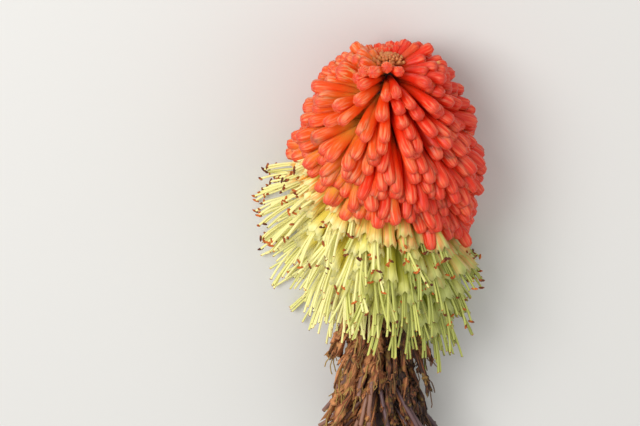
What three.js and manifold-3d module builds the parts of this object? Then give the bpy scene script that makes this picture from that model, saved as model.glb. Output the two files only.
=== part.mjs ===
// A cut red hot poker lying on a surface: closed red buds above open yellow florets above withered brown
// ones, on a bare green stalk. Millimetres, +Z up, +Y along the stalk towards the tip of the head.
//
// Every floret follows a curved path that is given by the place down the stalk where it grows, its
// compass angle round the stalk (0 points up, 90 points to +X) and its droop below the square.
// The dense middle of each zone follows the same paths, so that zones meet without crossing.

import * as THREE from 'three';
import { mergeVertices } from 'three/addons/utils/BufferGeometryUtils.js';
import Module from 'manifold-3d';

// The stalk, from the tip of the head to the slanting cut
const STALK_LENGTH = 300;
const STALK_RADIUS = 5.2;
const STALK_TIP_LENGTH = 4;
const CUT_END_RADIUS = 6.2;
const CUT_SLOPE = 0.55;
const STALK_BOW = 3.2;

// How the flower lies: the height of the stalk's middle under the widest florets and at the cut
const HEAD_HEIGHT = 27;
const CUT_END_HEIGHT = 5.9;
const WIDEST_AT = 45;

// How florets under the head give way to the surface
const FLOOR_REACH = 10;
const FLOOR_PRESS = 0.64;
const FOLD_BACK = 0.6;
const FOLD_OUT = 0.02;

// Where each zone ends down the stalk, and how far its edge slants round the stalk
const TIP_END = 3;
const RED_END = 46;
const OPEN_END = 77;
const WITHERED_END = 152;
const LAST_WITHERED_ROOT = 148;
const SLANT_TO_RIGHT = 6;
const SLANT_TO_BACK = 15.5;
const SLANT_RISE = 1.45;
const SLANT_FADES_AT = 110;
const JOINT_GAP = 0.6;
const CLEARANCE = 0.35;

// Droop in degrees: at the tip, at the lower edge of the red zone and at the end of the open zone
const TIP_DROOP = -85;
const BORDER_DROOP = 24;
const BORDER_DROOP_RIGHT = 17;
const BORDER_DROOP_FRONT = 16.5;
const OPEN_DROOP = 68;
const ROOT_LIFT = 8;
const END_FALL = 11.5;

// How early the droop grows: above the edge of the red zone, and below it
const RED_HASTE = 4.9;
const RED_HASTE_FRONT = 0.7;
const OPEN_DELAY = 2;
const OPEN_DELAY_LEFT = 0.3;

// Droop of a withered floret at its root and at its end: in the upper and in the lower part of its zone
const UPPER_WITHERED_DROOP = [60, 92];
const LOWER_WITHERED_DROOP = [50, 64];

// How many florets grow on a millimetre of stalk at the end of each zone, and how closely the rest of
// the zone is filled: below 1 its upper part has fewer, above 1 it has more
const TIP_BUDS = 4.3;
const RED_BUDS = 5.3;
const OPEN_FLORETS = 1.7;
const WITHERED_FLORETS = 0.7;
const RED_CROWDING = 0.78;
const OPEN_CROWDING = 1.1;
const STAMENS = 2;

// Sizes of the florets
const FLORET_LENGTH = 35;
const FLORET_GROWTH = 13.5;
const RIGHT_GROWTH = 0.13;
const TIP_BUD_RADIUS = 0.75;
const BUD_RADIUS = 3.5;
const BUD_WIDEST = 0.8;
const BUD_SHOULDER = 0.95;
const BUD_SHOULDER_RADIUS = 0.72;
const MOUTH_RADIUS = 3;
const THROAT_DEPTH = 1.5;
const TOOTH_LENGTH = 1.1;
const TUBE_SHARE = 0.92;
const STAMEN_RADIUS = 0.5;
const STAMEN_ROOT = 6;
const STAMEN_REACH = 15;
const STAMEN_SPREAD = 0.06;
const WITHERED_RADIUS = 1.9;

// The dense middle of each zone, as a share of the florets' length, and how deep the roots go into it
const CORE_SHARE = 0.6;
const WITHERED_CORE_SHARE = 0.3;
const CORE_FADE = 30;
const ROOT_DEPTH = 8;

const GOLDEN_ANGLE = 137.508;
const RADIANS = Math.PI / 180;
const QUARTER = Math.PI / 2;
const MERGE_DISTANCE = 1e-4;
const SLANT_STEPS = 40;

const TIP_ZONE = [0, TIP_END];
const RED_ZONE = [TIP_END + JOINT_GAP, RED_END];
const OPEN_ZONE = [RED_END + JOINT_GAP, OPEN_END];
const WITHERED_ZONE = [OPEN_END + JOINT_GAP, WITHERED_END];

const SLOPE = Math.atan2(HEAD_HEIGHT - CUT_END_HEIGHT, STALK_LENGTH - WIDEST_AT);
const TIP_HEIGHT = HEAD_HEIGHT + WIDEST_AT * Math.tan(SLOPE);

const wasm = await Module();
wasm.setup();

// A repeatable draw between -1 and 1, number k for floret i
function draw(i, k) {
  const wave = Math.sin(i * 12.9898 + k * 78.233) * 43758.5453;
  return 2 * (wave - Math.floor(wave)) - 1;
}

function mix(a, b, share) {
  return a + (b - a) * share;
}

function smooth(share) {
  const held = Math.min(1, Math.max(0, share));
  return held * held * (3 - 2 * held);
}

function count(n) {
  return [...Array(n).keys()];
}

// The stalk's radius at a place down it
function stalkRadius(down) {
  const domed = STALK_RADIUS * (1 - Math.exp(-Math.max(0, down) / STALK_TIP_LENGTH)) ** 0.8;
  const thicker = smooth((down - OPEN_END) / (STALK_LENGTH - OPEN_END));
  return domed + (CUT_END_RADIUS - STALK_RADIUS) * thicker;
}

// How much further down the stalk a floret sits on this side than the mean
function slant(down, angle) {
  const rising = Math.min(1, down / RED_END) ** SLANT_RISE;
  const fading = Math.cos(QUARTER * Math.min(1, (down - RED_END) / (SLANT_FADES_AT - RED_END)));
  const share = down < RED_END ? rising : fading;
  return share * (SLANT_TO_RIGHT * Math.sin(angle) - SLANT_TO_BACK * Math.cos(angle));
}

// The place in the unslanted order of a floret that grows at this place down the stalk
function unslanted(at, angle) {
  return count(SLANT_STEPS).reduce((down) => Math.max(0, at - slant(down, angle)), at);
}

// Mean droop of a bud or an open floret, in degrees below the square to the stalk
function droop(down, angle) {
  const right = Math.sin(angle);
  const front = Math.cos(angle);
  const border = BORDER_DROOP + BORDER_DROOP_RIGHT * right + BORDER_DROOP_FRONT * front;
  if (down < RED_END) {
    const haste = RED_HASTE + RED_HASTE_FRONT * front;
    const share = (1 - Math.exp((-haste * down) / RED_END)) / (1 - Math.exp(-haste));
    return mix(TIP_DROOP, border, share);
  }
  const share = Math.min(1, (down - RED_END) / (OPEN_END - RED_END));
  const delay = OPEN_DELAY - OPEN_DELAY_LEFT * right;
  return mix(border, OPEN_DROOP, share ** delay);
}

// Droop at the root and at the end of a floret that grows here
function droopRange(down, angle) {
  if (down < OPEN_END) {
    const mean = droop(down, angle);
    return [mean - ROOT_LIFT * smooth(down / 12), mean + END_FALL];
  }
  const share = (down - OPEN_END) / (WITHERED_END - OPEN_END);
  return [
    mix(UPPER_WITHERED_DROOP[0], LOWER_WITHERED_DROOP[0], smooth(share / 0.25)),
    mix(UPPER_WITHERED_DROOP[1], LOWER_WITHERED_DROOP[1], smooth((share - 0.45) / 0.4)),
  ];
}

// Length of a floret outside the stalk
function floretLength(down, angle) {
  const grown = FLORET_LENGTH * (1 - Math.exp(-down / FLORET_GROWTH));
  return Math.max(1, grown * (1 + RIGHT_GROWTH * Math.sin(angle)));
}

// How far the dense middle reaches out along the florets
function coreReach(down, angle, share) {
  const opening = smooth((down + 6) / 26);
  const closing = smooth((WITHERED_END - down) / CORE_FADE);
  return share * opening * closing * floretLength(down, angle);
}

// Distance out from the stalk's middle and place down it, for a point along a floret's path
function pathPoint(floret, along) {
  const inside = Math.min(along, stalkRadius(floret.down));
  const outside = along - inside;
  const start = floret.droop[0] * RADIANS;
  const turn = ((floret.droop[1] - floret.droop[0]) * RADIANS) / floret.length;
  const out = inside + (Math.sin(start + turn * outside) - Math.sin(start)) / turn;
  const sunk = (Math.cos(start) - Math.cos(start + turn * outside)) / turn;
  return [out, floret.down + slant(floret.down, floret.angle) * smooth(along / 3) + sunk];
}

// From (out, angle, down) round the stalk to the place in the lying flower
function place(out, angle, down) {
  const bow = -STALK_BOW * Math.sin((Math.PI * down) / STALK_LENGTH);
  const up = out * Math.cos(angle);
  return new THREE.Vector3(
    bow + out * Math.sin(angle),
    -down * Math.cos(SLOPE) - up * Math.sin(SLOPE),
    TIP_HEIGHT - down * Math.sin(SLOPE) + up * Math.cos(SLOPE),
  );
}

// A floret that would pass through the surface it lies on is folded back and out along it
function pressOnFloor(point, thickness) {
  if (point.z >= FLOOR_REACH) {
    return point;
  }
  const lowest = (1 - FLOOR_PRESS) * thickness;
  const reach = FLOOR_REACH - lowest;
  const height = lowest + reach * Math.exp((point.z - FLOOR_REACH) / reach);
  const lost = height - point.z;
  return new THREE.Vector3(point.x * (1 + FOLD_OUT * lost), point.y - FOLD_BACK * lost, height);
}

// The middle line of a floret, as a function of the distance along it
function middleLine(floret, thickness) {
  return (along) => {
    const [out, down] = pathPoint(floret, along);
    const swept = floret.angle + floret.sweep * (along / FLORET_LENGTH) ** 2;
    return pressOnFloor(place(out, swept, down), thickness);
  };
}

// A turned shape: its profile is a list of [radius, distance along], closed on the axis at both ends
function turned(profile, sides) {
  return new THREE.LatheGeometry(profile.map(([radius, along]) => new THREE.Vector2(radius, along)), sides);
}

// Moves each vertex of a turned shape; change(out, angle, along) gives its new place
function reshape(geometry, change) {
  const position = geometry.attributes.position;
  for (let i = 0; i < position.count; i += 1) {
    const out = Math.hypot(position.getX(i), position.getZ(i));
    const angle = Math.atan2(position.getX(i), position.getZ(i));
    const point = change(out, angle, position.getY(i));
    position.setXYZ(i, point.x, point.y, point.z);
  }
  return geometry;
}

// Bends a turned shape so that its axis follows a floret's middle line
function bend(geometry, floret, thickness) {
  const line = middleLine(floret, thickness);
  const side = new THREE.Vector3(Math.cos(floret.angle), 0, -Math.sin(floret.angle));
  const step = 0.05;
  return reshape(geometry, (out, angle, along) => {
    const forward = line(along + step).sub(line(along - step)).normalize();
    const across = side.clone().addScaledVector(forward, -side.dot(forward)).normalize();
    const third = new THREE.Vector3().crossVectors(across, forward);
    const point = line(along).addScaledVector(across, out * Math.sin(angle));
    return point.addScaledVector(third, out * Math.cos(angle));
  });
}

// A closed geometry as a solid that can be joined and cut
function solid(geometry) {
  geometry.deleteAttribute('normal');
  geometry.deleteAttribute('uv');
  const merged = mergeVertices(geometry, MERGE_DISTANCE);
  const vertProperties = new Float32Array(merged.attributes.position.array);
  const triVerts = new Uint32Array(merged.index.array);
  return new wasm.Manifold(new wasm.Mesh({ numProp: 3, vertProperties, triVerts }));
}

// A profile made larger all round by the room that a neighbour keeps from it
function enlarged(profile, room) {
  if (room === 0) {
    return profile;
  }
  const start = profile[0][1] - room;
  const end = profile.at(-1)[1] + room;
  const sides = profile.slice(1, -1).map(([radius, along]) => [radius + room, along]);
  return [[0, start], [2 * room, start], ...sides, [sides.at(-1)[0], end], [0, end]];
}

function turnedFloret(floret, profile, sides, thickness) {
  return solid(bend(turned(profile, sides), floret, thickness));
}

// Floret i, which grows at this place down the stalk
function makeFloret(i, at, wobble) {
  const angle = (i * GOLDEN_ANGLE + wobble * draw(i, 1)) * RADIANS;
  const down = unslanted(at, angle);
  const length = floretLength(down, angle) * (1 + 0.05 * draw(i, 2));
  const range = droopRange(down, angle).map((degrees) => degrees + 0.6 * wobble * draw(i, 3));
  return { number: i, down, angle, length, droop: range, sweep: 0.06 * draw(i, 4) };
}

// The florets of a zone: one spiral by the golden angle, of which the part between the slanting edges is kept
function spiral([from, to], perMillimetre, crowding, wobble) {
  const first = Math.max(0, from - SLANT_TO_BACK - SLANT_TO_RIGHT);
  const last = to + SLANT_TO_BACK + SLANT_TO_RIGHT;
  const n = Math.round((perMillimetre * (last - first)) * crowding);
  const florets = count(n).map((i) => makeFloret(i, mix(first, last, ((i + 0.5) / n) ** crowding), wobble));
  return florets.filter(({ down }) => down > from && down < to);
}

// Where a floret's root lies, inside the dense middle
function rootOf(floret, share) {
  const surface = stalkRadius(floret.down) + coreReach(floret.down, floret.angle, share);
  return Math.max(0.8, surface - ROOT_DEPTH);
}

function endOf(floret) {
  return stalkRadius(floret.down) + floret.length;
}

// Tiny undeveloped bud of the cluster at the very tip
function tipBud(floret, room) {
  const own = { ...floret, length: 1.2 + 0.9 * floret.down };
  const start = 0.3 * stalkRadius(own.down);
  const profile = [
    [0, start],
    [TIP_BUD_RADIUS, mix(start, endOf(own), 0.6)],
    [0, endOf(own)],
  ];
  return turnedFloret(own, enlarged(profile, room), 4, TIP_BUD_RADIUS);
}

// Closed bud: a club, widest just short of its rounded tip
function bud(floret, room) {
  const radius = BUD_RADIUS * Math.min(1, floret.length / 30) ** 0.35;
  const start = rootOf(floret, CORE_SHARE);
  const profile = [
    [0, start],
    [radius, mix(start, endOf(floret), BUD_WIDEST)],
    [BUD_SHOULDER_RADIUS * radius, mix(start, endOf(floret), BUD_SHOULDER)],
    [0, endOf(floret)],
  ];
  return turnedFloret(floret, enlarged(profile, room), 5, radius);
}

// Open tube with three teeth round a recessed throat
function openTube(floret, room) {
  const start = rootOf(floret, CORE_SHARE);
  const mouth = stalkRadius(floret.down) + TUBE_SHARE * floret.length;
  const wall = [[0, start], [MOUTH_RADIUS, mouth]];
  if (room > 0) {
    const closed = [...wall, [0, mouth + TOOTH_LENGTH]];
    return turnedFloret(floret, enlarged(closed, room), 6, MOUTH_RADIUS);
  }
  const toothed = reshape(turned([...wall, [0, mouth - THROAT_DEPTH]], 6), (out, angle, along) => {
    const tooth = out > 0 ? TOOTH_LENGTH * Math.cos(3 * angle) : 0;
    return { x: out * Math.sin(angle), y: along + tooth, z: out * Math.cos(angle) };
  });
  return solid(bend(toothed, floret, MOUTH_RADIUS));
}

// Stamen k of an open floret: a thin rod out of the throat
function stamen(floret, k, room) {
  const i = floret.number;
  const aside = (k - (STAMENS - 1) / 2) * STAMEN_SPREAD + 0.02 * draw(i, 20 + k);
  const range = floret.droop.map((degrees) => degrees + 2.5 * draw(i, 30 + k));
  const own = { ...floret, droop: range, sweep: floret.sweep + aside };
  const reach = STAMEN_REACH * (0.75 + 0.25 * draw(i, 10 + k));
  const profile = [
    [0, endOf(floret) - STAMEN_ROOT],
    [STAMEN_RADIUS, endOf(floret) - STAMEN_ROOT],
    [STAMEN_RADIUS, endOf(floret) + reach],
    [0, endOf(floret) + reach],
  ];
  return turnedFloret(own, enlarged(profile, room), 3, STAMEN_RADIUS);
}

// Withered floret: a thin shrivelled tube that hangs along the stalk
function witheredFloret(floret) {
  const i = floret.number;
  const radius = WITHERED_RADIUS * (1 + 0.25 * draw(i, 5));
  const start = rootOf(floret, WITHERED_CORE_SHARE);
  const end = stalkRadius(floret.down) + floret.length * (0.72 + 0.16 * draw(i, 6));
  const profile = [
    [0, start],
    [radius, mix(start, end, 0.6)],
    [0.8 * radius, end],
    [0, end - 0.4],
  ];
  return turnedFloret(floret, profile, 4, radius);
}

// The dense middle of a zone: turned in (distance along a floret, place down the stalk), then carried
// over to the florets' own paths
function core([from, to], share, rings, sides, room) {
  const top = Math.max(0, from - room);
  const bottom = to + room;
  const profile = [[0, bottom], [0.5, bottom]];
  count(rings + 1).forEach((k) => profile.push([1, mix(bottom, top, k / rings)]));
  profile.push([0.5, top], [0, top]);
  const geometry = reshape(turned(profile, sides), (part, angle, down) => {
    const reach = part > 0.75 ? coreReach(down, angle, share) + room : 0;
    const along = part > 0.25 ? stalkRadius(down) + reach : 0;
    const range = droopRange(down, angle);
    const floret = { down, angle, length: floretLength(down, angle), droop: range, sweep: 0 };
    return middleLine(floret, 0)(along);
  });
  return solid(geometry);
}

function tipBuds(room) {
  const florets = spiral(TIP_ZONE, TIP_BUDS, 1, 3);
  return [core(TIP_ZONE, 0, 2, 8, room), ...florets.map((floret) => tipBud(floret, room))];
}

function redBuds(room) {
  const florets = spiral(RED_ZONE, RED_BUDS, RED_CROWDING, 4);
  return [core(RED_ZONE, CORE_SHARE, 6, 18, room), ...florets.map((floret) => bud(floret, room))];
}

function openFlorets(room) {
  const parts = [core(OPEN_ZONE, CORE_SHARE, 4, 18, room)];
  spiral(OPEN_ZONE, OPEN_FLORETS, OPEN_CROWDING, 4).forEach((floret) => {
    parts.push(openTube(floret, room));
    count(STAMENS).forEach((k) => parts.push(stamen(floret, k, room)));
  });
  return parts;
}

function witheredFlorets() {
  const florets = spiral([WITHERED_ZONE[0], LAST_WITHERED_ROOT], WITHERED_FLORETS, 1, 12);
  return [core(WITHERED_ZONE, WITHERED_CORE_SHARE, 6, 12, 0), ...florets.map(witheredFloret)];
}

// The bare stalk below the florets, cut off on a slant
function stalk() {
  const top = WITHERED_END + JOINT_GAP;
  const steps = 10;
  const profile = [[0, STALK_LENGTH]];
  count(steps + 1).forEach((k) => {
    const down = mix(STALK_LENGTH, top, k / steps);
    profile.push([stalkRadius(down), down]);
  });
  profile.push([0, top]);
  const geometry = reshape(turned(profile, 16), (out, angle, down) => {
    const slanted = down > STALK_LENGTH - 1 ? down - CUT_SLOPE * out * Math.sin(angle) : down;
    return place(out, angle, slanted);
  });
  return [solid(geometry)];
}

// The largest body of a solid: loose scraps and sealed hollows are dropped
function largest(joined) {
  return joined.decompose().reduce((best, body) => (body.volume() > best.volume() ? body : best));
}

// Joins solids into one body, trimmed flat where it rests and clear of its neighbours
function grownTogether(parts, neighbours = []) {
  const trimmed = wasm.Manifold.union(parts).trimByPlane([0, 0, 1], 0);
  return largest(neighbours.length > 0 ? trimmed.subtract(wasm.Manifold.union(neighbours)) : trimmed);
}

// A solid as a named mesh with its own material
function namedMesh(name, body, color, roughness) {
  const { vertProperties, triVerts } = body.getMesh();
  const geometry = new THREE.BufferGeometry();
  geometry.setAttribute('position', new THREE.BufferAttribute(vertProperties, 3));
  geometry.setIndex(new THREE.BufferAttribute(triVerts, 1));
  geometry.computeVertexNormals();
  const mesh = new THREE.Mesh(geometry, new THREE.MeshStandardMaterial({ color, roughness, metalness: 0 }));
  mesh.name = name;
  return mesh;
}

const flower = new THREE.Group();
flower.add(
  namedMesh('tip_buds', grownTogether(tipBuds(0)), 0xc98a4a, 0.7),
  namedMesh('red_buds', grownTogether(redBuds(0), tipBuds(CLEARANCE)), 0xe6412a, 0.4),
  namedMesh('open_florets', grownTogether(openFlorets(0), redBuds(CLEARANCE)), 0xd3c56a, 0.5),
  namedMesh('withered_florets', grownTogether(witheredFlorets(), openFlorets(CLEARANCE)), 0x7a522b, 0.9),
  namedMesh('stalk', grownTogether(stalk()), 0x6f8a3a, 0.5),
);

// The origin is on the surface, under the middle of the lying flower
const box = new THREE.Box3().setFromObject(flower);
const middle = box.getCenter(new THREE.Vector3());
flower.position.set(-middle.x, -middle.y, -box.min.z);

export default flower;
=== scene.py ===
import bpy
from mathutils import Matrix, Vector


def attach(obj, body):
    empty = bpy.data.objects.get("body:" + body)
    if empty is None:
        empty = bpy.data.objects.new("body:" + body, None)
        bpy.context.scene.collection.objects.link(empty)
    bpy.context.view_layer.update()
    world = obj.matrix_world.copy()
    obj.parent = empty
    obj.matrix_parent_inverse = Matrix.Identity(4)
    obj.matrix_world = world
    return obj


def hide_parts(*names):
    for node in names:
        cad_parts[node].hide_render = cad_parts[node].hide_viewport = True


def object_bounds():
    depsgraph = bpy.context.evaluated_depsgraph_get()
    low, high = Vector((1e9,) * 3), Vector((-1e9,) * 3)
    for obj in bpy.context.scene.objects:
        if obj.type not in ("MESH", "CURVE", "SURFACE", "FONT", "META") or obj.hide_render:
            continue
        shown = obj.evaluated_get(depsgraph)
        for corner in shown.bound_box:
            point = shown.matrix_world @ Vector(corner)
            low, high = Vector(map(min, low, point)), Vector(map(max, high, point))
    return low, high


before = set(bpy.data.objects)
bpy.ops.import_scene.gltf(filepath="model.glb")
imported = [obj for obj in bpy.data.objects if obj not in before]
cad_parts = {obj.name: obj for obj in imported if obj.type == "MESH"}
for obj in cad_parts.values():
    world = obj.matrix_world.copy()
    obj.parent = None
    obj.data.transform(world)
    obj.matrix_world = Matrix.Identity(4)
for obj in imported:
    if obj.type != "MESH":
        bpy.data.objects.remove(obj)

import copy
import math

import bpy
from mathutils import Matrix, Vector

# A cut red hot poker lying on a pale floor, as finer florets on the paths of the part's florets.
# Floret paths are worked out in millimetres: a place down the stalk, a compass angle round it
# (0 points up, 90 degrees to +X) and a droop below the square. Meshes are in metres.

cad_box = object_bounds()
MM = 0.001

# Where the tip of the head lies beside the frame's origin, which is under the middle of the flower
TIP_X, TIP_Y = 7.523, 149.158

# The stalk, and how the flower lies: the same values as the part's source
STALK_LENGTH = 300.0
STALK_RADIUS = 5.2
STALK_TIP_LENGTH = 4.0
STALK_TIP_POWER = 0.8
CUT_END_RADIUS = 6.2
CUT_SLOPE = 0.55
STALK_BOW = 3.2
HEAD_HEIGHT = 27.0
CUT_END_HEIGHT = 5.9
WIDEST_AT = 45.0
SLOPE = math.atan2(HEAD_HEIGHT - CUT_END_HEIGHT, STALK_LENGTH - WIDEST_AT)
TIP_HEIGHT = HEAD_HEIGHT + WIDEST_AT * math.tan(SLOPE)

# The stalk's ribs and ends: its last rings tilt towards the cut, and its edges are a little rounded
STALK_SIDES = 40
STALK_TOP = 0.5
RIB_DEPTH = 0.012
CUT_RUN = 12.0
EDGE_SHARE = 0.97
MIDDLE_SHARE = 0.02

# How florets under the head give way to the floor
FLOOR_REACH = 10.0
FOLD_BACK = 0.6
FOLD_OUT = 0.02
LOWEST = 0.05

# The zones down the stalk and the slant of their edges
TIP_END = 3.0
RED_END = 46.0
OPEN_END = 77.0
WITHERED_END = 152.0
LAST_WITHERED_ROOT = 149.0
JOINT_GAP = 0.6
SLANT_TO_RIGHT = 6.0
SLANT_TO_BACK = 15.5
SLANT_RISE = 1.45
SLANT_FADES_AT = 110.0
SLANT_GROWS_BY = 3.0
SLANT_STEPS = 40

# Droop in degrees, and how early it grows above and below the edge of the red zone
TIP_DROOP = -85.0
BORDER_DROOP = 24.0
BORDER_DROOP_RIGHT = 17.0
BORDER_DROOP_FRONT = 16.5
OPEN_DROOP = 68.0
ROOT_LIFT = 8.0
ROOT_LIFT_BY = 12.0
END_FALL = 11.5
RED_HASTE = 4.9
RED_HASTE_FRONT = 0.7
OPEN_DELAY = 2.0
OPEN_DELAY_LEFT = 0.3

# Droop of a withered floret at its root and then at its end: in the upper and in the lower part of its
# zone, and between which shares of the zone it turns from one to the other
WITHERED_DROOPS = ((60.0, 50.0, (0.0, 0.25)), (92.0, 64.0, (0.45, 0.85)))

# How many florets grow on a millimetre of stalk, and how closely the upper part of a zone is filled. A
# floret strays by some degrees from its place in the spiral, leans by a share of that, and is swept
# aside by some radians
TIP_BUDS = 16.0
RED_BUDS = 15.5
OPEN_FLORETS = 7.5
WITHERED_FLORETS = 2.2
RED_CROWDING = 0.95
OPEN_CROWDING = 1.05
TIP_STRAY = 8.0
BUD_STRAY = 3.0
OPEN_STRAY = 8.0
WITHERED_STRAY = 14.0
LEAN_SHARE = 0.9
SWEEP = 0.15
GOLDEN_ANGLE = 137.508

# Lengths, and by what share they vary near the tip and further down
FLORET_LENGTH = 35.0
FLORET_GROWTH = 13.5
SHORTEST = 1.0
RIGHT_GROWTH = 0.13
RIGHT_GROWTH_BY = 20.0
TIP_UNEVENNESS = 0.24
UNEVENNESS = 0.09
EVEN_FROM = 20.0

# Buds and open tubes: radii and their variation, and how deep in the stalk the roots are. Buds shorter
# than grown ones are slimmer. Tubes stay clear of the ends of buds, and one more fills a gap in front
# between the spiral's, at a compass angle and a place down the stalk
ROOT_SHARE = 0.55
TIP_ROOT_SHARE = 0.3
TIP_BUD_LENGTH = 1.6
TIP_BUD_GROWTH = 0.9
TIP_BUD_RADIUS = 0.62
BUD_RADIUS = 2.5
BUD_UNEVENNESS = 0.12
GROWN_BUD_LENGTH = 25.0
SLIMMING_POWER = 0.2
TUBE_RADIUS = 2.8
TUBE_UNEVENNESS = 0.1
TUBE_SHARE = 0.95
CLEAR_OF_BUDS = 4.0
FILLED_GAPS = ((4.3, 51.5),)

# Stamens, which reach out less at the right and where a floret has only just opened. Late is the share
# of the open zone by which they have their full reach: later at the right, in front and at the left.
# They lean by degrees, lie radians apart, and may stand out of the sides of the part's box a little.
# A side, here and below, is a compass angle and by how many degrees what happens there fades
STAMENS = 3
STAMEN_RADIUS = 0.43
STAMEN_ROOT = 9.0
STAMEN_REACH = 10.5
STAMEN_REACH_SPREAD = 4.95
STAMEN_REACH_LOST_RIGHT = 3.3
FRESH_REACH = 0.5
STAMENS_APART = 0.016
STAMEN_LEAN = 2.2
STAMEN_OVERHANG = 1.2
LATE = 0.4
LATE_RIGHT = 0.2
LATE_FRONT = 0.12
LATE_LEFT = 0.3
LATE_LEFT_SIDE = (-38.0, 30.0)

# Anthers: radius and place along in millimetres, the tilt of one on its stamen, and its height over the
# floor. They are all full in the youngest florets and all spent by this share of the open zone
ANTHER_PROFILE = ((0.2, -1.3), (0.45, -0.7), (0.5, 0.4), (0.18, 1.3))
ANTHER_TILT = 62.0
ANTHER_HEIGHT = 1.1
SPENT_SIZE = 0.45
SPENT_BELOW = (-1.4, 1.1)
ALL_SPENT_BY = 0.75

# Withered florets: a shrivelled tube with torn petals and dry filaments, and lower down often a straw
WITHERED_RADIUS = 2.1
WITHERED_UNEVENNESS = 0.35
WITHERED_ROOT_SHARE = 0.6
WITHERED_SHARE = 0.74
WITHERED_SHARE_SPREAD = 0.2
TORN_PETALS = 4
SHRED_LENGTH = 7.0
SHRED_RADIUS = 1.5
SHRED_UNEVENNESS = 0.4
SHRED_TOP = 0.3
SHRED_LEANS = (12.0, 22.0)
SHRED_LEAN_BY = 20.0
SHRED_SWEEP = 0.5
DRY_FILAMENTS = 2
DRY_RADIUS = 0.22
DRY_ROOT = 12.0
DRY_REACH = 2.0
DRY_REACH_SPREAD = 4.0
DRY_LEAN = 8.0
DRY_SWEEP = 0.2
STRAW_RADIUS = 0.8
STRAW_REACH = 1.0
STRAW_LIFT = 4.0
STRAW_SWEEP = 0.1
STRAW_DRAWS = (1.2, -0.2)
STRAWS_GROW = (100.0, 130.0)

# Where the finer florets lie a little differently from the part's: the left ones part from the hanging
# front ones and point straight out, which fades by a share from one place down the stalk to another,
# and the right ones bulge above the middle of the red zone
PARTING_SIDE = (-55.0, 28.0)
PARTING_LIFT = 25.0
PARTING_GROWS_BY = 10.0
PARTING_FADES = ((0.65, 26.0, RED_END), (0.35, RED_END, 56.0))
RIGHT_BULGE = 0.05
BULGE_AT = (22.0, 12.0)

# The lower edge of the red zone sags at the front left, and rises at the right and at the left: a
# compass angle and how far it rises there
BORDER_SAG = 5.0
SAG_SIDE = (-26.0, 24.0)
RISE_WIDTH = 42.0
BORDER_RISES = ((62.0, 5.0), (-82.0, 3.5))
HIGHEST_RISE = max(height for _, height in BORDER_RISES)

# Some buds are left out near the tip, and others at the left between two places down the stalk
TIP_THINNING = 0.8
THINNED_TO = 12.0
LEFT_THINNING = 0.8
LEFT_THINNED_SIDE = (-55.0, 28.0)
LEFT_THINNING_GROWS = (0.0, 10.0)
LEFT_THINNING_FADES = (24.0, 34.0)

# Buds near the tip are as long as those this far below them, and spread wider than the part's. The head
# is slimmer at the back of the tip, and at each side round a compass angle and a place down the stalk
HEAD_START = 2.275
HEAD_START_FRONT = 1.225
HEAD_START_LOST_LEFT = 1.75
HEAD_START_LOST_BACK = 3.0
BACK_WIDTH = 45.0
TIP_SPREAD = 14.0
TIP_SPREAD_WIDTH = 3.0
SIDE_HOLLOWS = ((-82.0, 10.0), (90.0, 12.0))
HOLLOW_DEPTH = 4.0
HOLLOW_WIDTH = 40.0
HOLLOW_SPREAD = 5.0

# Two buds near the tip are longer, stand up more and are striped with cream: a compass angle and a place
# down the stalk. Their mark is past what any draw gives
CREAM_BUDS = ((-50.0, 10.0), (88.0, 7.0))
CREAM_LIFT = 9.0
CREAM_GROWTH = 1.1
CREAM_MARK = 2.0

# Light and shade are painted into the florets' colours, as if light fell from the left: how much their side
# counts, and how much they differ
SIDE_CONTRAST = 0.55
SIDE_UNEVENNESS = 0.12

# Patterns on the florets: how far out from a path crumpling is read, and how far apart their streaks are
CRUMPLE_REACH = 2.0
STREAKS_APART = 23.0


def draw(i, k):
    """A repeatable draw between -1 and 1, number k for floret i."""
    wave = math.sin(i * 12.9898 + k * 78.233) * 43758.5453
    return 2 * (wave - math.floor(wave)) - 1


def mix(a, b, share):
    """From a, where the share is 0, to b, where it is 1."""
    return a + (b - a) * share


def rise(value, low, high):
    """0 below low, 1 above high, and smooth between them."""
    share = min(1.0, max(0.0, (value - low) / (high - low)))
    return share * share * (3 - 2 * share)


def vary(value, share, i, k):
    """A value that draw k changes for floret i, by up to this share."""
    return value * (1 + share * draw(i, k))


def stalk_radius(down):
    domed = STALK_RADIUS * (1 - math.exp(-max(0.0, down) / STALK_TIP_LENGTH)) ** STALK_TIP_POWER
    return domed + (CUT_END_RADIUS - STALK_RADIUS) * rise(down, OPEN_END, STALK_LENGTH)


def slant(down, angle):
    """How much further down the stalk a floret sits on this side than the mean."""
    if down < RED_END:
        share = (down / RED_END) ** SLANT_RISE
    else:
        share = math.cos(math.pi / 2 * min(1.0, (down - RED_END) / (SLANT_FADES_AT - RED_END)))
    return share * (SLANT_TO_RIGHT * math.sin(angle) - SLANT_TO_BACK * math.cos(angle))


def unslanted(at, angle):
    """The place in the unslanted order of a floret that grows at this place down the stalk."""
    down = at
    for _ in range(SLANT_STEPS):
        down = max(0.0, at - slant(down, angle))
    return down


def droop(down, angle):
    """Mean droop of a bud or an open floret, in degrees below the square to the stalk."""
    right, front = math.sin(angle), math.cos(angle)
    border = BORDER_DROOP + BORDER_DROOP_RIGHT * right + BORDER_DROOP_FRONT * front
    if down < RED_END:
        haste = RED_HASTE + RED_HASTE_FRONT * front
        share = (1 - math.exp(-haste * down / RED_END)) / (1 - math.exp(-haste))
        return mix(TIP_DROOP, border, share)
    share = min(1.0, (down - RED_END) / (OPEN_END - RED_END))
    return mix(border, OPEN_DROOP, share ** (OPEN_DELAY - OPEN_DELAY_LEFT * right))


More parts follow.
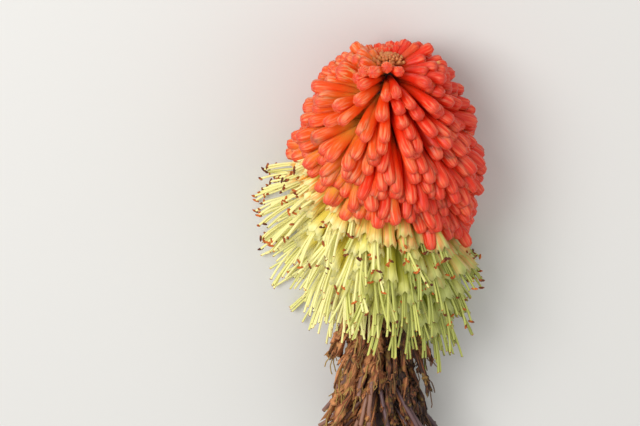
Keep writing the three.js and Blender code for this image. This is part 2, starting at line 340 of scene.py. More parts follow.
def droop_range(down, angle):
    """Droop at the root and at the end of a floret."""
    if down < OPEN_END:
        spread = TIP_SPREAD * bell(down, TIP_END, TIP_SPREAD_WIDTH)
        mean = droop(down, angle) - PARTING_LIFT * parted(down, angle) + spread
        return mean - ROOT_LIFT * rise(down, 0, ROOT_LIFT_BY), mean + END_FALL
    share = (down - OPEN_END) / (WITHERED_END - OPEN_END)
    return tuple(mix(upper, lower, rise(share, *turn)) for upper, lower, turn in WITHERED_DROOPS)


def bell(value, middle, width):
    """1 at the middle, fading to both sides."""
    return math.exp(-((value - middle) / width) ** 2)


def beside(angle, middle, width):
    """1 at this compass angle in degrees, fading to both sides."""
    return bell((math.degrees(angle) - middle + 180) % 360, 180, width)


def parted(down, angle):
    """How far a floret parts from the hanging front ones: most in the middle of the left side."""
    faded = sum(share * rise(down, top, bottom) for share, top, bottom in PARTING_FADES)
    return beside(angle, *PARTING_SIDE) * rise(down, 0, PARTING_GROWS_BY) * (1 - faded)


def red_end(angle):
    """Where the red zone ends on this side, before its slant."""
    sagged = BORDER_SAG * beside(angle, *SAG_SIDE)
    risen = sum(height * beside(angle, degrees, RISE_WIDTH) for degrees, height in BORDER_RISES)
    return RED_END + sagged - risen


def floret_length(down, angle):
    """Mean length of a floret, along its curve from the skin of the stalk."""
    left, back = max(0.0, -math.sin(angle)), beside(angle, 180, BACK_WIDTH)
    head_start = (HEAD_START + HEAD_START_FRONT * math.cos(angle) - HEAD_START_LOST_LEFT * left
                  - HEAD_START_LOST_BACK * back)
    grown = FLORET_LENGTH * (1 - math.exp(-(down + head_start) / FLORET_GROWTH))
    for degrees, at in SIDE_HOLLOWS:
        grown -= HOLLOW_DEPTH * beside(angle, degrees, HOLLOW_WIDTH) * bell(down, at, HOLLOW_SPREAD)
    right = RIGHT_GROWTH * rise(down, 0, RIGHT_GROWTH_BY) + RIGHT_BULGE * bell(down, *BULGE_AT)
    return max(SHORTEST, grown * (1 + right * math.sin(angle)))


class Floret:
    """One floret: where it grows, how long it is and how it droops."""

    def __init__(self, number, at, stray):
        self.number = number
        self.angle = math.radians(number * GOLDEN_ANGLE + stray * draw(number, 1))
        self.down = unslanted(at, self.angle)
        uneven = mix(TIP_UNEVENNESS, UNEVENNESS, rise(self.down, 0, EVEN_FROM))
        self.length = vary(floret_length(self.down, self.angle), uneven, number, 2)
        lean = LEAN_SHARE * stray * draw(number, 3)
        self.droop = tuple(degrees + lean for degrees in droop_range(self.down, self.angle))
        self.sweep = SWEEP * draw(number, 4)

    def root(self, share=ROOT_SHARE):
        return share * stalk_radius(self.down)

    def end(self, share=1.0):
        return stalk_radius(self.down) + share * self.length

    def spread(self, degrees, aside):
        """The same floret's path, drooping more and swept aside."""
        other = copy.copy(self)
        other.droop = (self.droop[0] + degrees, self.droop[1] + degrees)
        other.sweep = self.sweep + aside
        return other

    def point(self, along, thickness):
        """A point of the path in metres, at a distance along it in millimetres."""
        inside = min(along, stalk_radius(self.down))
        start = math.radians(self.droop[0])
        turn = math.radians(self.droop[1] - self.droop[0]) / self.length
        ahead = start + turn * (along - inside)
        out = inside + (math.sin(ahead) - math.sin(start)) / turn
        sunk = (math.cos(start) - math.cos(ahead)) / turn
        down = self.down + slant(self.down, self.angle) * rise(along, 0, SLANT_GROWS_BY) + sunk
        angle = self.angle + self.sweep * (along / FLORET_LENGTH) ** 2
        return on_floor(place(out, angle, down), thickness)


def place(out, angle, down):
    """From round the stalk to the lying flower, in millimetres from under the head's tip."""
    bow = -STALK_BOW * math.sin(math.pi * down / STALK_LENGTH)
    up = out * math.cos(angle)
    return Vector((
        bow + out * math.sin(angle),
        -down * math.cos(SLOPE) - up * math.sin(SLOPE),
        TIP_HEIGHT - down * math.sin(SLOPE) + up * math.cos(SLOPE),
    ))


def in_frame(point):
    """From millimetres under the head's tip to metres from the frame's origin."""
    return Vector((point.x + TIP_X, point.y + TIP_Y, point.z)) * MM


def on_floor(point, thickness):
    """Folds a point back and out along the floor where it would pass through it, in metres."""
    if point.z < FLOOR_REACH:
        reach = FLOOR_REACH - thickness
        height = thickness + reach * math.exp((point.z - FLOOR_REACH) / reach)
        lost = height - point.z
        point = Vector((point.x * (1 + FOLD_OUT * lost), point.y - FOLD_BACK * lost, height))
    return in_frame(point)


def spiral(top, bottom, per_millimetre, crowding, stray):
    """The florets within these places: one spiral by the golden angle, slanting as the zones do."""
    first = max(0.0, top - SLANT_TO_BACK - SLANT_TO_RIGHT)
    last = bottom + SLANT_TO_BACK + SLANT_TO_RIGHT
    n = round(per_millimetre * (last - first) * crowding)
    florets = (Floret(i, mix(first, last, ((i + 0.5) / n) ** crowding), stray) for i in range(n))
    return [floret for floret in florets if top < floret.down < bottom]


class Bench:
    """Puts nodes into a tree and joins them by their sockets."""

    def __init__(self, tree):
        self.tree = tree

    def add(self, kind, inputs=None, **settings):
        node = self.tree.nodes.new(kind)
        for name, value in settings.items():
            setattr(node, name, value)
        for key, value in (inputs or {}).items():
            self.put(self.socket(node, key), value)
        return node

    @staticmethod
    def socket(node, key):
        if isinstance(key, int):
            return node.inputs[key]
        return next(socket for socket in node.inputs if socket.enabled and socket.name == key)

    def put(self, socket, value):
        if isinstance(value, bpy.types.Node):
            value = next(output for output in value.outputs if output.enabled)
        if isinstance(value, bpy.types.NodeSocket):
            self.tree.links.new(value, socket)
        else:
            socket.default_value = value

    def maths(self, operation, *values):
        return self.add("ShaderNodeMath", dict(enumerate(values)), operation=operation)

    def times(self, first, second):
        return self.maths("MULTIPLY", first, second)

    def vectors(self, operation, *values):
        return self.add("ShaderNodeVectorMath", dict(enumerate(values)), operation=operation)

    def scaled(self, vector, factor):
        return self.add("ShaderNodeVectorMath", {0: vector, 3: factor}, operation="SCALE")

    def parts(self, vector):
        return self.add("ShaderNodeSeparateXYZ", {"Vector": vector}).outputs

    def noise(self, spot, scale, detail=2.0):
        return self.add("ShaderNodeTexNoise", {"Vector": spot, "Scale": scale, "Detail": detail})

    def named(self, name, kind):
        return self.add("GeometryNodeInputNamedAttribute", {"Name": name}, data_type=kind)

    def blend(self, share, first, second):
        return self.add("ShaderNodeMix", {"Factor": share, "A": first, "B": second}, data_type="RGBA")

    def between(self, value, low, high):
        """0 below low, 1 above high, and smooth between them."""
        return self.add("ShaderNodeMapRange", {"Value": value, "From Min": low, "From Max": high},
                        interpolation_type="SMOOTHSTEP")


def new_tree(name, sockets):
    """A Geometry Nodes tree: a bench to fill it, its named inputs, and the given chains as paths."""
    tree = bpy.data.node_groups.new(name, "GeometryNodeTree")
    tree.interface.new_socket("Geometry", in_out="INPUT", socket_type="NodeSocketGeometry")
    tree.interface.new_socket("Geometry", in_out="OUTPUT", socket_type="NodeSocketGeometry")
    for label, kind, value in sockets:
        socket = tree.interface.new_socket(label, in_out="INPUT", socket_type="NodeSocket" + kind)
        if value is not None:
            socket.default_value = value
    bench = Bench(tree)
    given = bench.add("NodeGroupInput").outputs
    return bench, given, bench.add("GeometryNodeMeshToCurve", {"Mesh": given["Geometry"]})


def end_tree(bench, geometry, finish):
    """Every tree ends in real geometry with its finish."""
    shaded = bench.add("GeometryNodeSetShadeSmooth", {"Geometry": geometry})
    real = bench.add("GeometryNodeRealizeInstances", {"Geometry": shaded})
    painted = bench.add("GeometryNodeSetMaterial", {"Geometry": real, "Material": finish})
    bench.add("NodeGroupOutput", {"Geometry": painted})
    return bench.tree


def shifted(bench, geometry, spot, lowest):
    """Moves points to these spots, but none lower than this."""
    floor = bench.add("ShaderNodeCombineXYZ", {"X": -1.0, "Y": -1.0, "Z": lowest})
    held = bench.vectors("MAXIMUM", spot, floor)
    return bench.add("GeometryNodeSetPosition", {"Geometry": geometry, "Position": held})


def wandered(bench, given, paths):
    """Lets paths stray towards their ends, but not through the floor."""
    spot = bench.add("GeometryNodeInputPosition")
    noise = bench.noise(spot, given["Wander Scale"])
    stray = bench.vectors("SUBTRACT", noise.outputs["Color"], (0.5, 0.5, 0.5))
    far = bench.add("GeometryNodeSplineParameter").outputs["Factor"]
    moved = bench.vectors("ADD", spot, bench.scaled(stray, bench.times(far, given["Wander"])))
    return shifted(bench, paths, moved, given["Lowest"])


def bending_tree():
    """Bends a copy of a straight shape along every path: x and y across, z from 0 to 1 along."""
    bench, given, paths = new_tree("Bend along paths", [
        ("Shape", "Object", None), ("Florets", "Int", 1), ("Twist", "Float", 0.0),
        ("Crumple", "Float", 0.0), ("Crumple Scale", "Float", 300.0), ("Wander", "Float", 0.0),
        ("Wander Scale", "Float", 200.0), ("Lowest", "Float", 0.0), ("Seed", "Int", 7),
        ("Finish", "Material", None)])
    paths = wandered(bench, given, paths)
    shape = bench.add("GeometryNodeObjectInfo", {"Object": given["Shape"]})
    spots = bench.add("GeometryNodePoints", {"Count": given["Florets"]})
    copies = bench.add("GeometryNodeInstanceOnPoints",
                       {"Points": spots, "Instance": shape.outputs["Geometry"]})
    counted = bench.add("GeometryNodeStoreNamedAttribute", {
        "Geometry": copies, "Name": "floret", "Value": bench.add("GeometryNodeInputIndex")},
        data_type="INT", domain="INSTANCE")
    real = bench.add("GeometryNodeRealizeInstances", {"Geometry": counted})
    floret = bench.named("floret", "INT")
    straight = bench.parts(bench.add("GeometryNodeInputPosition"))
    where = {"Curves": paths, "Factor": straight["Z"], "Curve Index": floret}
    line = bench.add("GeometryNodeSampleCurve", {**where, "Value": bench.named("size", "FLOAT")},
                     mode="FACTOR")
    start = bench.add("FunctionNodeRandomValue",
                      {"Max": 2 * math.pi, "ID": floret, "Seed": given["Seed"]}, data_type="FLOAT")
    turn = bench.maths("MULTIPLY_ADD", straight["Z"], given["Twist"], start.outputs["Value"])
    flat = bench.add("ShaderNodeCombineXYZ", {"X": straight["X"], "Y": straight["Y"]})
    turned = bench.add("ShaderNodeVectorRotate", {"Vector": flat, "Angle": turn}, rotation_type="Z_AXIS")
    across = bench.parts(turned)
    second = bench.vectors("CROSS_PRODUCT", line.outputs["Tangent"], line.outputs["Normal"])
    offset = bench.vectors("ADD", bench.scaled(line.outputs["Normal"], across["X"]),
                           bench.scaled(second, across["Y"]))
    near = bench.vectors("ADD", line.outputs["Position"], bench.scaled(offset, CRUMPLE_REACH * MM))
    ripple = bench.noise(near, given["Crumple Scale"], 1.0)
    swell = bench.maths("MULTIPLY_ADD", bench.maths("SUBTRACT", ripple, 0.5), given["Crumple"], 1.0)
    aside = bench.scaled(offset, bench.times(swell, line.outputs["Value"]))
    moved = bench.vectors("ADD", line.outputs["Position"], aside)
    bent = shifted(bench, real, moved, given["Lowest"])
    seen = bench.add("GeometryNodeSampleCurve", {**where, "Value": bench.named("looks", "FLOAT_VECTOR")},
                     mode="FACTOR", data_type="FLOAT_VECTOR")
    kept = bench.add("GeometryNodeStoreNamedAttribute",
                     {"Geometry": bent, "Name": "looks", "Value": seen.outputs["Value"]},
                     data_type="FLOAT_VECTOR", domain="POINT")
    return end_tree(bench, kept, given["Finish"])


def thread_tree():
    """Sweeps a thin round thread along every path, as thick as the path's size says."""
    bench, given, paths = new_tree("Threads", [
        ("Sides", "Int", 5), ("Wander", "Float", 0.0), ("Wander Scale", "Float", 200.0),
        ("Lowest", "Float", 0.0), ("Finish", "Material", None)])
    paths = wandered(bench, given, paths)
    ring = bench.add("GeometryNodeCurvePrimitiveCircle", {"Resolution": given["Sides"], "Radius": 1.0})
    swept = bench.add("GeometryNodeCurveToMesh", {
        "Curve": paths, "Profile Curve": ring, "Scale": bench.named("size", "FLOAT"), "Fill Caps": True})
    return end_tree(bench, swept, given["Finish"])


def anther_tree():
    """Sets a copy of a shape on the end of every path, along the direction in its looks."""
    bench, given, paths = new_tree("Anthers", [
        ("Shape", "Object", None), ("Seed", "Int", 3), ("Finish", "Material", None)])
    shape = bench.add("GeometryNodeObjectInfo", {"Object": given["Shape"]})
    last = bench.add("GeometryNodeCurveEndpointSelection", {"Start Size": 0, "End Size": 1})
    spin = bench.add("FunctionNodeRandomValue", {"Min": (0.0, 0.0, 0.0), "Max": (0.0, 0.0, 2 * math.pi),
                                                 "Seed": given["Seed"]}, data_type="FLOAT_VECTOR")
    turn = bench.add("FunctionNodeAlignRotationToVector", {
        "Rotation": spin.outputs["Value"], "Vector": bench.named("looks", "FLOAT_VECTOR")}, axis="Z")
    copies = bench.add("GeometryNodeInstanceOnPoints", {
        "Points": paths, "Selection": last, "Instance": shape.outputs["Geometry"],
        "Rotation": turn, "Scale": bench.named("anther", "FLOAT")})
    return end_tree(bench, copies, given["Finish"])


def new_piece(name, points, edges=(), faces=()):
    mesh = bpy.data.meshes.new(name)
    mesh.from_pydata(points, edges, faces)
    mesh.update()
    piece = bpy.data.objects.new(name, mesh)
    bpy.context.scene.collection.objects.link(piece)
    return piece


def carry(mesh, name, kind, values):
    """Gives every point of a mesh a value."""
    attribute = mesh.attributes.new(name, kind, "POINT")
    key = "vector" if kind == "FLOAT_VECTOR" else "value"
    flat = [part for value in values for part in value] if key == "vector" else values
    attribute.data.foreach_set(key, flat)


def path_piece(name, paths):
    """Open chains of points; a path is its points with their sizes, looks and anther size."""
    points, edges, sizes, looks, heads = [], [], [], [], []
    for path in paths:
        first = len(points)
        points += path["points"]
        edges += [(k, k + 1) for k in range(first, len(points) - 1)]
        sizes += path["sizes"]
        looks += [path["looks"]] * len(path["points"])
        heads += [path.get("anther", 0.0)] * len(path["points"])
    piece = new_piece(name, points, edges)
    carry(piece.data, "size", "FLOAT", sizes)
    carry(piece.data, "looks", "FLOAT_VECTOR", looks)
    carry(piece.data, "anther", "FLOAT", heads)
    return piece


def belongs(piece, node):
    """A finished piece stands for a CAD node: it joins the root body, and the node's part is hidden."""
    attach(piece, "root")
    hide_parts(node)


def grow(name, node, paths, tree, sizes):
    """A piece of this node: what a tree makes of the paths, with sizes given by name, as a plain mesh."""
    piece = path_piece(name, paths)
    modifier = piece.modifiers.new(tree.name, "NODES")
    modifier.node_group = tree
    for item in tree.interface.items_tree:
        if item.in_out == "INPUT" and item.name in sizes:
            modifier[item.identifier] = sizes[item.name]
    graph = bpy.context.evaluated_depsgraph_get()
    mesh = bpy.data.meshes.new_from_object(piece.evaluated_get(graph), preserve_all_data_layers=True,
                                           depsgraph=graph)
    piece.modifiers.remove(modifier)
    piece.data = mesh
    belongs(piece, node)


def ring_faces(count, sides, upwards=True):
    """Faces over rings of points that run upwards or down, and across both ends."""
    faces = []
    for first in range(0, count - sides, sides):
        for k in range(sides):
            a, b = first + k, first + (k + 1) % sides
            faces.append((a, b, b + sides, a + sides) if upwards else (a, a + sides, b + sides, b))
    ends = tuple(reversed(range(sides))), tuple(range(count - sides, count))
    return faces + [end if upwards else end[::-1] for end in ends]


def turned_shape(name, rings, sides=12, petals=6, flatness=0.0):
    """A closed straight shape. A ring is (radius, along, furrow depth, tooth height); furrows and
    teeth repeat once for each petal."""
    points, skin = [], []
    for radius, along, furrow, tooth in rings:
        for k in range(sides):
            angle = 2 * math.pi * k / sides
            ridge = math.cos(petals * angle)
            out = radius * (1 - furrow * (0.5 - 0.5 * ridge))
            across, aside = out * math.cos(angle), out * math.sin(angle) * (1 - flatness)
            points.append((across, aside, along + tooth * ridge))
            skin.append((math.cos(angle), math.sin(angle), along))
    shape = new_piece(name, points, faces=ring_faces(len(points), sides))
    carry(shape.data, "skin", "FLOAT_VECTOR", skin)
    carry(shape.data, "ridge", "FLOAT", [math.cos(petals * math.atan2(y, x)) for x, y, _ in skin])
    return shape


def paint(name):
    """A colour given as six hexadecimal digits, for a shader."""
    parts = [int(name[k:k + 2], 16) / 255 for k in (0, 2, 4)]
    return (*(p / 12.92 if p <= 0.04045 else ((p + 0.055) / 1.055) ** 2.4 for p in parts), 1.0)


class Finish(Bench):
    """A material's nodes round its shader, whose plain settings are given by the names of its sockets."""

    def __init__(self, name, roughness, **settings):
        self.material = bpy.data.materials.new(name)
        self.material.use_nodes = True
        super().__init__(self.material.node_tree)
        self.shader = self.tree.nodes["Principled BSDF"]
        for socket, value in {"Roughness": roughness, **settings}.items():
            self.shader.inputs[socket.replace("_", " ")].default_value = value

    def read(self, name, output="Fac"):
        return self.add("ShaderNodeAttribute", attribute_name=name).outputs[output]

    def read_parts(self, name):
        return self.parts(self.read(name, "Vector"))

    def mottle(self, scale, detail=2.0):
        return self.noise(self.add("ShaderNodeTexCoord").outputs["Object"], scale, detail)

    def streaks(self, around, along):
        """Noise drawn out along a floret, and different on each one."""
        skin, looks = self.read("skin", "Vector"), self.read("looks", "Vector")
        drawn_out = self.vectors("MULTIPLY", skin, (around, around, along))
        return self.noise(self.vectors("ADD", drawn_out, self.scaled(looks, STREAKS_APART)), 1.0, 1.0)

    def ramp(self, share, *stops):
        """Colours at places between 0 and 1."""
        node = self.add("ShaderNodeValToRGB", {"Fac": share})
        elements = node.color_ramp.elements
        while len(elements) < len(stops):
            elements.new(0.5)
        for element, (position, colour) in zip(elements, stops):
            element.position = position
            element.color = paint(colour)
        return node.outputs["Color"]

    # Painted light and shade: a shaded, a middle and a lit copy of a colour, picked by how sunlit a floret's
    # side is
    def shades(self, side, shaded, middle, lit):
        return self.ramp(side, (0.0, shaded), (0.5, middle), (1.0, lit))

    def coat(self, colour):
        self.put(self.shader.inputs["Base Color"], colour)

    def roughen(self, height, distance, strength):
        bump = self.add("ShaderNodeBump", {"Height": height, "Distance": distance, "Strength": strength})
        self.put(self.shader.inputs["Normal"], bump)


def bud_finish():
    """Waxy petals: red, painted oranger and lighter on the sunlit left and darker in painted shade on the
    right, with pale streaks on the tips painted as highlights, and yellow roots below. The two marked buds
    have cream stripes as well."""
    bench = Finish("red_petals", 0.42, Specular_IOR_Level=0.3, Subsurface_Weight=0.5,
                   Subsurface_Scale=0.004, Subsurface_Radius=(1.0, 0.3, 0.12))
    along, ridge, looks = bench.read_parts("skin")["Z"], bench.read("ridge"), bench.read_parts("looks")
    own = bench.maths("MINIMUM", looks["Z"], 1.0)
    # How sunlit a bud's side is, with a little of its own: it picks the painted light and shade of the
    # colours below
    side = bench.maths("MULTIPLY_ADD", own, 0.2, looks["Y"])
    root = bench.shades(side, "cc3414", "f4501a", "f79e40")
    tube = bench.shades(side, "d82a10", "f4340a", "f4661e")
    tip = bench.shades(side, "d43c26", "f24e2a", "ee5a32")
    body = bench.blend(bench.between(along, 0.15, 0.7), root, tube)
    body = bench.blend(bench.between(looks["X"], 0.085, 0.06), body, paint("dd7a38"))
    # Buds turn yellow towards the open zone, and the painted sunlight on the left makes them yellower there
    ripening = bench.maths("MULTIPLY_ADD", along, -0.9, looks["X"])
    ripe = bench.between(bench.maths("MULTIPLY_ADD", side, 0.3, ripening), 0.2, 0.75)
    turning = bench.blend(ripe, body, paint("f4bc48"))
    whole = bench.blend(bench.between(along, 0.86, 1.0), turning, tip)
    fine = bench.streaks(3.0, 4.0)
    # Pale streaks near the tips are painted highlights, stronger on the sunlit side
    pale = bench.times(bench.between(fine, 0.42, 0.66), bench.between(along, 0.68, 0.88))
    lit = bench.times(pale, bench.maths("MULTIPLY_ADD", side, 0.5, 0.32))
    with_painted_highlights = bench.blend(lit, whole, paint("ff9e70"))
    cream = bench.times(bench.between(looks["Z"], 1.4, 1.6), bench.between(along, 0.94, 0.85))
    stripe = bench.times(cream, bench.between(fine, 0.46, 0.54))
    striped = bench.blend(bench.times(stripe, 0.8), with_painted_highlights, paint("f8cc84"))
    end = bench.times(bench.between(along, 0.94, 1.0), 0.6)
    closed = bench.blend(end, striped, paint("c8321e"))
    # The furrows near the tip are darker: partly the seams' own colour, partly painted shade in the furrows
    seam_shade = bench.times(bench.between(ridge, -0.5, -1.0), bench.between(along, 0.8, 0.98))
    bench.coat(bench.blend(bench.times(seam_shade, 0.4), closed, paint("b0281a")))
    bench.roughen(fine, 0.0003, 0.25)
    return bench.material


def undeveloped_finish():
    bench = Finish("undeveloped_petals", 0.6)
    along = bench.read_parts("skin")["Z"]
    shade = bench.ramp(along, (0.0, "8a3a18"), (0.5, "d07c40"), (0.9, "e29c5c"), (1.0, "b4602e"))
    patch = bench.times(bench.between(bench.mottle(700.0), 0.45, 0.7), 0.6)
    bench.coat(bench.blend(patch, shade, paint("e0582c")))
    return bench.material


def tube_finish():
    """Thin petals: painted cream and lighter on the sunlit left and greener in painted shade on the right,
    with orange left on the youngest.
    """
    bench = Finish("yellow_petals", 0.42)
    along, ridge, looks = bench.read_parts("skin")["Z"], bench.read("ridge"), bench.read_parts("looks")
    # How sunlit a tube's side is: it picks the painted light and shade of the colours below
    side = bench.maths("MULTIPLY_ADD", looks["Z"], 0.12, looks["Y"])
    root = bench.shades(side, "868a26", "c0b030", "f2c84c")
    tube = bench.shades(side, "a8b03e", "d4d048", "fcea68")
    mouth = bench.shades(side, "c2c878", "ece88a", "fdf6b0")
    body = bench.blend(bench.between(along, 0.1, 0.6), root, tube)
    petal = bench.blend(bench.between(along, 0.75, 1.0), body, mouth)
    fine = bench.streaks(3.0, 1.2)
    young = bench.between(looks["X"], 0.5, 0.15)
    blush = bench.times(bench.times(young, bench.between(fine, 0.35, 0.6)),
                        bench.between(along, 1.04, 0.9))
    # The young tubes' orange comes in shaded and lit copies too, and is painted stronger on the sunlit side
    glow = bench.shades(side, "e8703c", "f0844a", "f6a83c")
    strength = bench.maths("MULTIPLY_ADD", side, 0.5, 0.58)
    turning = bench.blend(bench.times(blush, strength), petal, glow)
    # Painted shade: darker green in the furrows
    furrow_shade = bench.times(bench.between(ridge, -0.5, -1.0), 0.4)
    bench.coat(bench.blend(furrow_shade, turning, paint("96963a")))
    bench.roughen(fine, 0.0003, 0.3)
    return bench.material


def thread_finish(name, shaded, middle, lit):
    """Threads that are lighter on the sunlit side and differ a little from floret to floret."""
    bench = Finish(name, 0.5)
    looks = bench.read_parts("looks")
    side = bench.maths("MULTIPLY_ADD", looks["Z"], 0.28, looks["Y"])
    bench.coat(bench.shades(side, shaded, middle, lit))
    return bench.material


def anther_finish():
    bench = Finish("anthers", 0.75)
    patch = bench.between(bench.mottle(160.0), 0.4, 0.6)
    bench.coat(bench.blend(patch, paint("5a240a"), paint("c8661c")))
    return bench.material


def dry_finish(name, dark, brown, light):
    """Dry petals, painted lighter on the raised folds and darker in the creases as light and shade, lighter
    on the sunlit left, and darker further down the stalk.
    """
    bench = Finish(name, 0.8)
    folds = bench.streaks(1.6, 5.0)
    looks = bench.read_parts("looks")
    # Painted light and shade: lighter on the sunlit left and on the streaks that stand for raised folds,
    # darker between them
    lit = bench.maths("MULTIPLY_ADD", bench.maths("SUBTRACT", looks["Y"], 0.5), 0.36, folds)
    tone_and_light = bench.maths("MULTIPLY_ADD", looks["Z"], 0.12, bench.maths("MULTIPLY_ADD", looks["X"], -0.05, lit))
    colour = bench.ramp(tone_and_light, (0.2, dark), (0.4, brown), (0.64, light))
    patch = bench.times(bench.between(bench.mottle(420.0), 0.5, 0.7), 0.5)
    bench.coat(bench.blend(patch, colour, paint("a8843c")))
    bench.roughen(bench.mottle(1400.0, 3.0), 0.0004, 0.7)
    return bench.material


def stalk_finish():
    """Fresh green skin with fine lengthwise streaks, and a pale wet cut."""
    bench = Finish("green_stalk", 0.42)
    coordinates = bench.add("ShaderNodeTexCoord").outputs["Object"]
    drawn_out = bench.vectors("MULTIPLY", coordinates, (900.0, 14.0, 900.0))
    fine = bench.noise(drawn_out, 1.0)
    skin = bench.ramp(fine, (0.3, "5c7430"), (0.55, "76903e"), (0.75, "8ba24c"))
    patch = bench.times(bench.between(bench.mottle(60.0), 0.5, 0.75), 0.35)
    worn = bench.blend(patch, skin, paint("8a8240"))
    flesh = bench.ramp(bench.mottle(1500.0), (0.35, "b9c184"), (0.65, "dcdfb4"))
    bench.coat(bench.blend(bench.read("cut"), worn, flesh))
    bench.roughen(fine, 0.0002, 0.3)
    return bench.material


def inner_shade_finish():
    """The stalk among the florets, painted dark brown to stand for the shade deep inside the head."""
    bench = Finish("stalk_among_florets", 0.7)
    bench.coat(bench.ramp(bench.mottle(300.0), (0.35, "2a1408"), (0.65, "4e2c12")))
    return bench.material


def zone_share(down):
    """Place in the open zone: 0 at the edge of the red zone, 1 at its lower end."""
    return (down - RED_END) / (OPEN_END - RED_END)


def painted_sunlight(floret):
    """How much painted sunlight a floret's colours get: 1 on the sunlit left side, 0 on the shaded right."""
    sunlit = 0.5 - SIDE_CONTRAST * math.sin(floret.angle) + SIDE_UNEVENNESS * draw(floret.number, 7)
    return rise(sunlit, 0, 1)


def floret_path(floret, start, end, size, looks, steps, lowest=LOWEST, **more):
    """Points along a floret for the trees, none of them lower than it takes to clear the floor."""
    alongs = [mix(start, end, k / steps) for k in range(steps + 1)]
    points = [floret.point(along, max(size, lowest)) for along in alongs]
    return {"points": points, "sizes": [size * MM] * len(points), "looks": looks, **more}


def hung(path, root):
    """The same path, moved so that it starts at this point."""
    shift = root - path["points"][0]
    path["points"] = [point + shift for point in path["points"]]
    return path


def bud_shape(name):
    """A bud: narrow at the root, widest short of its blunt, furrowed tip."""
    return turned_shape(name, [
        (0.4, 0.0, 0.0, 0.0), (0.74, 0.52, 0.06, 0.0), (1.0, 0.87, 0.1, 0.0),
        (0.94, 0.945, 0.16, 0.0), (0.68, 0.985, 0.26, 0.0), (0.22, 0.997, 0.1, 0.0)])


def mouth_shape(name):
    """An open tube: six pointed teeth round a hollow throat."""
    return turned_shape(name, [
        (0.4, 0.0, 0.0, 0.0), (0.66, 0.4, 0.05, 0.0), (0.92, 0.86, 0.08, 0.0),
        (1.1, 0.97, 0.0, 0.022), (0.94, 0.96, 0.0, 0.02), (0.7, 0.82, 0.0, 0.0),
        (0.3, 0.78, 0.0, 0.0)])


def withered_shape(name, sides):
    """A shrivelled tube, pinched and flattened, with a torn mouth."""
    return turned_shape(name, [
        (0.35, 0.0, 0.1, 0.0), (0.6, 0.16, 0.4, 0.0), (1.0, 0.36, 0.5, 0.0), (0.6, 0.54, 0.5, 0.0),
        (1.0, 0.74, 0.5, 0.0), (0.8, 0.93, 0.4, 0.05), (0.3, 0.9, 0.2, 0.0)],
        sides=sides, petals=3, flatness=0.45)


def bend(name, node, paths, shape, finish, **sizes):
    """A piece with a copy of the shape on every path; the shape isn't needed after that."""
    named = {key.replace("_", " "): value for key, value in sizes.items()}
    grow(name, node, paths, bending, {"Shape": shape, "Florets": len(paths), "Lowest": LOWEST * MM,
                                      "Finish": finish, **named})
    bpy.data.objects.remove(shape)


def thinned(floret):
    """Whether a bud is left out: often near the tip, and now and then on the left."""
    near_tip = TIP_THINNING * (1 - rise(floret.down, 0, THINNED_TO))
    at_left = LEFT_THINNING * beside(floret.angle, *LEFT_THINNED_SIDE)
    at_left *= rise(floret.down, *LEFT_THINNING_GROWS) * (1 - rise(floret.down, *LEFT_THINNING_FADES))
    return 0.5 + 0.5 * draw(floret.number, 12) < max(near_tip, at_left)


def nearest(florets, degrees, down):
    """The floret that grows nearest to a compass angle and a place down the stalk."""
    def gap(floret):
        turned = math.sin((floret.angle - math.radians(degrees)) / 2)
        return math.hypot(turned * FLORET_LENGTH, floret.down - down)
    return min(florets, key=gap)


def replanted(floret, degrees, down):
    """The same floret at another compass angle and place down the stalk, and not swept aside."""
    other = copy.copy(floret)
    other.angle, other.down, other.sweep = math.radians(degrees), down, 0.0
    return other


def red_buds():
    """Closed buds down to the edge of the red zone. Gives the points where they end."""
    florets = spiral(TIP_END, RED_END + BORDER_SAG, RED_BUDS, RED_CROWDING, BUD_STRAY)
    florets = [floret for floret in florets
               if floret.down < red_end(floret.angle) and not thinned(floret)]
    creamy = [nearest(florets, degrees, down) for degrees, down in CREAM_BUDS]
    paths = []
    for floret in florets:
        grown = min(1.0, floret.length / GROWN_BUD_LENGTH) ** SLIMMING_POWER
        size = vary(BUD_RADIUS * grown, BUD_UNEVENNESS, floret.number, 8)
        mark = draw(floret.number, 9)
        if floret in creamy:
            mark = CREAM_MARK
            floret = floret.spread(-CREAM_LIFT, 0.0)
            floret.length *= CREAM_GROWTH
        looks = (floret.down / RED_END, painted_sunlight(floret), mark)
        paths.append(floret_path(floret, floret.root(), floret.end(), size, looks, steps=12))
    bend("closed_red_buds", "red_buds", paths, bud_shape("bud_shape"), bud_finish(),
         Crumple=0.15, Crumple_Scale=250.0)
    return [path["points"][-1] for path in paths]


def tip_buds():
    """Tiny undeveloped buds, crowded on the tip of the stalk."""
    paths = []
    for floret in spiral(0.0, TIP_END, TIP_BUDS, 1.0, TIP_STRAY):
        floret.length = TIP_BUD_LENGTH + TIP_BUD_GROWTH * floret.down
        looks = (floret.down / TIP_END, 0.5, draw(floret.number, 9))
        root = floret.root(TIP_ROOT_SHARE)
        paths.append(floret_path(floret, root, floret.end(), TIP_BUD_RADIUS, looks, steps=5))
    bend("undeveloped_buds", "tip_buds", paths, bud_shape("tiny_bud_shape"), undeveloped_finish(),
         Crumple=0.4, Crumple_Scale=900.0)


def stamen_reach(floret, k):
    """How far stamen k stands out of the mouth: hardly, in florets that have only just opened."""
    right, front = math.sin(floret.angle), math.cos(floret.angle)
    late = (LATE + LATE_RIGHT * right + LATE_FRONT * front
            + LATE_LEFT * beside(floret.angle, *LATE_LEFT_SIDE))
    full = (STAMEN_REACH + STAMEN_REACH_SPREAD * draw(floret.number, 10 + k)
            - STAMEN_REACH_LOST_RIGHT * max(0.0, right))
    return mix(FRESH_REACH, full, rise(zone_share(floret.down), 0, late))


def inside(floret, end):
    """The end of a stamen, nearer by half millimetres where it stands too far out of the part's box."""
    while abs(floret.point(end, 0.0).x) > cad_box[1][0] + STAMEN_OVERHANG * MM:
        end -= 0.5
    return end


